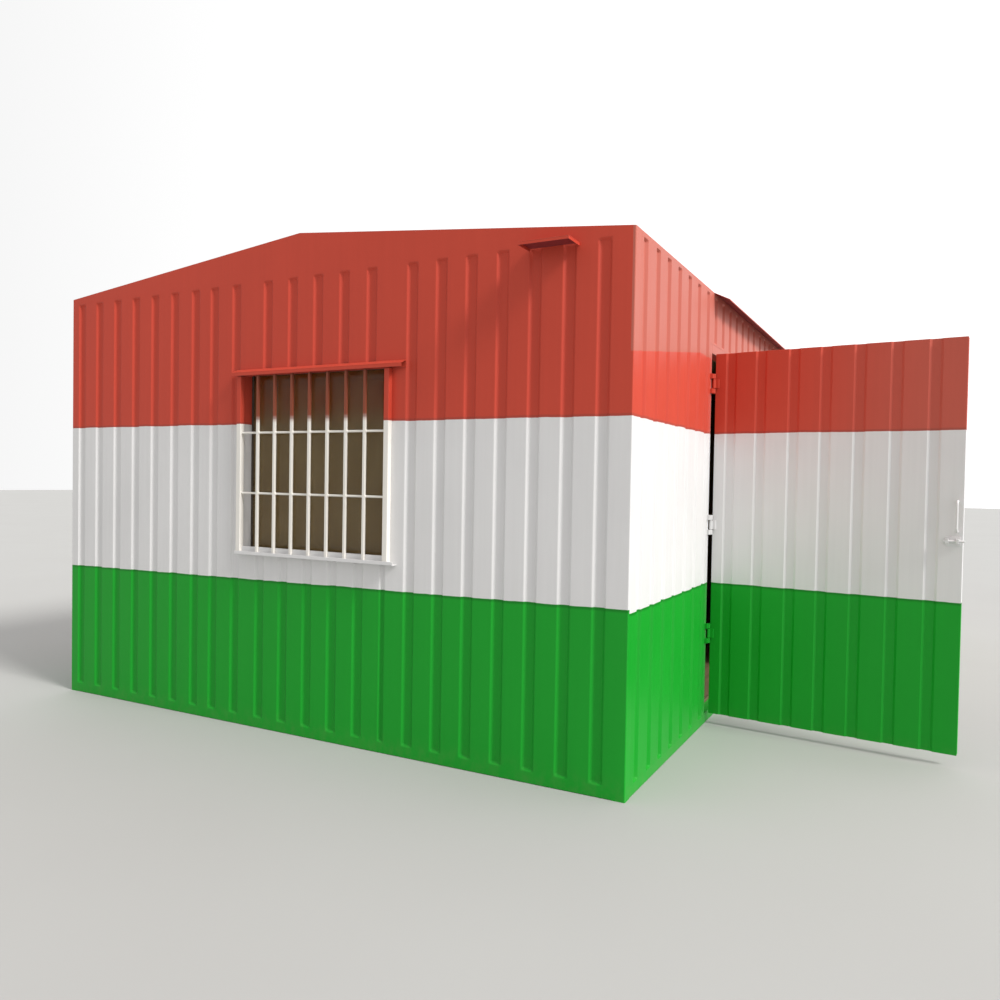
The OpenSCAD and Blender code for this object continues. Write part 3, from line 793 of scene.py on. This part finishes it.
class CABIN_OT_door(bpy.types.Operator):
    """Press the door leaf and fit its frame, handle, bolt and hinges"""
    bl_idname = "cabin.door"
    bl_label = "Door leaf"

    def execute(self, context):
        sizes = context.scene.cabin_sizes
        low, high = shut_box("door_sheet")
        place = leaf_place()
        to_shut = (Matrix.Translation((HALF_WIDTH, low.y, 0))
                   @ Matrix.Rotation(math.radians(90), 4, "Z"))
        width, height = high.y - low.y, high.z - low.z
        bm = bmesh.new()
        bmesh.ops.create_grid(bm, x_segments=1, y_segments=1, size=0.5, matrix=(
            Matrix.Translation((width / 2, 0, (low.z + high.z) / 2))
            @ Matrix.Diagonal((width, 1, height, 1)) @ Matrix.Rotation(math.pi / 2, 4, "X")))
        press_grooves(bm, LEAF_GROOVES, low.z, high.z, (False, False), sizes.leaf_depth)
        bmesh.ops.recalc_face_normals(bm, faces=bm.faces)
        if bm.faces[0].normal.y > 0:
            bmesh.ops.reverse_faces(bm, faces=bm.faces)
        bmesh.ops.solidify(bm, geom=bm.faces[:], thickness=0.002)
        inward = [v.co.y for v in bm.verts]
        bmesh.ops.translate(bm, verts=bm.verts, vec=(0, -min(inward), 0))
        make_piece("pressed_door_sheet", bm, "door", "leaf", ["door_sheet"],
                   place @ to_shut, edge=sizes.press_radius * 0.3)
        for node, slot in (("door_stiles", "door_frame_paint"),
                           ("door_rails", "door_frame_paint")):
            low, high = shut_box(node)
            bm = bmesh.new()
            if node == "door_stiles":
                add_block(bm, low, (high.x, low.y + 0.04, high.z))
                add_block(bm, (low.x, high.y - 0.04, low.z), high)
            else:
                for z in (low.z, (low.z + high.z - 0.04) / 2, high.z - 0.04):
                    add_block(bm, (low.x, low.y, z), (high.x, high.y, z + 0.04))
            make_piece("welded_" + node, bm, "door", "leaf", [node], place,
                       edge=sizes.tube_edge)
        low, high = shut_box("door_handle")
        y = (low.y + high.y) / 2
        bm = bmesh.new()
        out = high.x - 0.006
        add_bent_rod(bm, ((low.x, y, low.z + 0.006), (out, y, low.z + 0.006),
                          (out, y, high.z - 0.006), (low.x, y, high.z - 0.006)), 0.006, 0.018)
        make_piece("bent_door_handle", bm, "door", "white", ["door_handle"],
                   place)
        low, high = shut_box("door_bolt")
        bm = bmesh.new()
        y = low.y + 0.010
        add_block(bm, (low.x, y, low.z), (low.x + 0.004, y + 0.066, high.z))
        for s in (0, 0.046):
            add_block(bm, (low.x, y + s, 1.095), (low.x + 0.02, y + s + 0.014, 1.119))
        add_rod(bm, (low.x + 0.012, low.y, 1.107), (low.x + 0.012, high.y, 1.107), 0.006)
        make_piece("sliding_door_bolt", bm, "door", "white", ["door_bolt"],
                   place, edge=0.001)
        bm = bmesh.new()
        for z in (0.520, 1.135, 1.930):
            a, b = z - 0.025, z + 0.025
            add_rod(bm, (HINGE.x, HINGE.y, a), (HINGE.x, HINGE.y, b), 0.009, 24)
            add_block(bm, (HINGE.x - 0.009, HINGE.y, a), (HINGE.x - 0.003, HINGE.y + 0.026, b))
            add_block(bm, (HALF_WIDTH, HINGE.y + 0.006, a),
                      (HALF_WIDTH + 0.006, HINGE.y + 0.026, b))
        make_piece("welded_hinge_straps", bm, "door", "tube", ["door_hinge_straps"],
                   place, edge=0.0012)
        return {"FINISHED"}


class CABIN_OT_inside(bpy.types.Operator):
    """Finish the boards and joists that stay as they are"""
    bl_idname = "cabin.inside"
    bl_label = "Inside"

    def execute(self, context):
        dress_nodes(("front_lining", "right_lining", "back_lining", "left_lining"), "board")
        dress_nodes(("ceiling",), "ceiling")
        dress_nodes(("floor_board",), "floor")
        dress_nodes(("floor_joists",), "primer")
        return {"FINISHED"}


class CABIN_OT_stage(bpy.types.Operator):
    """Set the floor, the lights and the camera"""
    bl_idname = "cabin.stage"
    bl_label = "Stage"

    def execute(self, context):
        scene = context.scene
        scene.view_settings.view_transform = "Standard"
        bm = bmesh.new()
        bmesh.ops.create_grid(bm, x_segments=1, y_segments=1, size=60.0)
        mesh = bpy.data.meshes.new("stage_floor")
        bm.to_mesh(mesh)
        bm.free()
        floor = bpy.data.objects.new("stage_floor", mesh)
        scene.collection.objects.link(floor)
        pale, tree, shader, where = start_material("pale_matt_floor")
        shade = grain(tree, where, (1, 1, 1), 0.6, 2.0)
        tree.links.new(mixed(tree, shade, rgba(to_linear("AEADAB")),
                             rgba(to_linear("B3B3B1"))), shader.inputs["Base Color"])
        shader.inputs["Roughness"].default_value = 0.9
        mesh.materials.append(pale)
        # A white room, a little brighter behind the cabin and on its door side
        world = bpy.data.worlds.new("soft_white")
        world.use_nodes = True
        scene.world = world
        tree = world.node_tree
        parts = add_node(tree, "ShaderNodeSeparateXYZ", links={
            0: add_node(tree, "ShaderNodeTexCoord").outputs["Generated"]}).outputs
        tree.links.new(
            math_node(tree, "ADD", 0.92, math_node(
                tree, "ADD", math_node(tree, "MULTIPLY", parts["X"], 0.20),
                math_node(tree, "MULTIPLY", parts["Y"], 0.35))),
            tree.nodes["Background"].inputs["Strength"])
        tree.nodes["Background"].inputs["Color"].default_value = (1.0, 1.0, 1.0, 1)
        key = bpy.data.lights.new("key", "SUN")
        key.energy = 2.9
        key.angle = math.radians(16)
        key.color = (1.0, 0.985, 0.96)
        sun = bpy.data.objects.new("key", key)
        sun.rotation_mode = "QUATERNION"
        sun.rotation_quaternion = Vector((-0.76, 0.11, -0.63)).to_track_quat("-Z", "Y")
        scene.collection.objects.link(sun)
        lens = bpy.data.cameras.new("camera")
        lens.lens = 29.89
        lens.sensor_width = 36.0
        eye = bpy.data.objects.new("camera", lens)
        look = (Euler((math.pi / 2 - 0.0235, 0, 0.4853)).to_matrix()
                @ Matrix.Rotation(0.0169, 3, "Z"))
        eye.rotation_euler = look.to_euler()
        eye.location = (2.976, FRONT - 3.3564, 1.3654)
        scene.collection.objects.link(eye)
        scene.camera = eye
        return {"FINISHED"}


OPERATORS = (CABIN_OT_walls, CABIN_OT_frame, CABIN_OT_roof, CABIN_OT_window, CABIN_OT_hoods,
             CABIN_OT_door_frame, CABIN_OT_door, CABIN_OT_inside, CABIN_OT_stage)


class CABIN_PT_panel(bpy.types.Panel):
    """Builds the cabin piece by piece"""
    bl_idname = "CABIN_PT_panel"
    bl_label = "Office container"
    bl_space_type = "VIEW_3D"
    bl_region_type = "UI"
    bl_category = "Cabin"

    def draw(self, context):
        for group in (context.scene.cabin_sizes, context.scene.cabin_colours):
            for name in group.bl_rna.properties.keys():
                if name not in ("rna_type", "name"):
                    self.layout.prop(group, name)
        for operator in OPERATORS:
            self.layout.operator(operator.bl_idname)


CLASSES = (CabinSizes, CabinColours, *OPERATORS, CABIN_PT_panel)


def register():
    for made in CLASSES:
        bpy.utils.register_class(made)
    bpy.types.Scene.cabin_sizes = PointerProperty(type=CabinSizes)
    bpy.types.Scene.cabin_colours = PointerProperty(type=CabinColours)


def unregister():
    del bpy.types.Scene.cabin_colours
    del bpy.types.Scene.cabin_sizes
    for made in reversed(CLASSES):
        bpy.utils.unregister_class(made)


def main():
    register()
    for operator in OPERATORS:
        name = operator.bl_idname.split(".")[1]
        if getattr(bpy.ops.cabin, name)() != {"FINISHED"}:
            raise RuntimeError("could not build: " + operator.bl_label)


if __name__ == "__main__":
    main()
